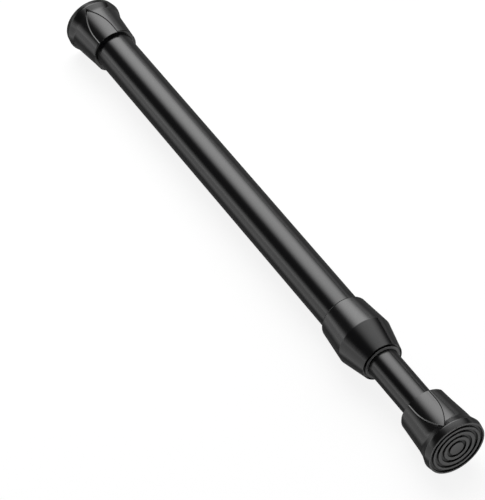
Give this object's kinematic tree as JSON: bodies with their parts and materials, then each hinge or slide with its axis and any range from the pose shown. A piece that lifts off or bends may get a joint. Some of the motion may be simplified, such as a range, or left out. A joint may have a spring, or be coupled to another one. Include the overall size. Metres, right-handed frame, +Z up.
{
  "type": "spring tension rod",
  "caption": "Telescopic curtain tension rod: two nested steel tubes, flared rubber caps with ringed faces, a tapered collar, and a twist lock and spring inside.",
  "frame": {"origin": "centre of the outer tube's cap face, where it stands on the wall", "axes": "+X along the rod from the outer tube's cap to the inner tube's cap, +Z up"},
  "size_m": [0.269, 0.0238, 0.0236],
  "materials": {
    "painted_tube": "satin black powder coat on steel tube",
    "cap_rubber": "semi-gloss black moulded rubber",
    "collar_plastic": "satin black moulded plastic",
    "nylon": "natural nylon",
    "plated_steel": "bright zinc plate",
    "spring_wire": "drawn spring steel wire"
  },
  "bodies": {
    "outer": {"outer_tube": "painted_tube", "outer_end_cap": "cap_rubber", "collar": "collar_plastic"},
    "expander": {"expander_bush": "nylon"},
    "cone": {"wedge_cone": "nylon"},
    "plunger": {"lock_stud": "plated_steel", "nose_nut": "plated_steel", "spring_follower": "nylon"},
    "inner": {"inner_tube": "painted_tube", "inner_end_cap": "cap_rubber", "gland_bush": "nylon", "spring_stop": "nylon", "compression_spring": "spring_wire"}
  },
  "joints": [
    {"name": "length_slide", "type": "slide", "parent": "outer", "child": "expander", "axis": [1, 0, 0], "range_m": [-0.01, 0.11]},
    {"name": "twist_lock", "type": "hinge", "parent": "expander", "child": "plunger", "pos_m": [0.0599, 0, 0], "axis": [1, 0, 0], "range_deg": [0, 360]},
    {"name": "cone_draw", "type": "slide", "parent": "expander", "child": "cone", "axis": [-1, 0, 0], "range_m": [0, 0.001]},
    {"name": "spring_slide", "type": "slide", "parent": "plunger", "child": "inner", "axis": [1, 0, 0], "range_m": [-0.012, 0], "stiffness_N_per_m": 1700, "springref_m": 0.002, "deforming": ["compression_spring"]}
  ],
  "couplings": [
    {"joint": "cone_draw", "follows": "twist_lock", "m_per_rad": 0.00015915}
  ]
}
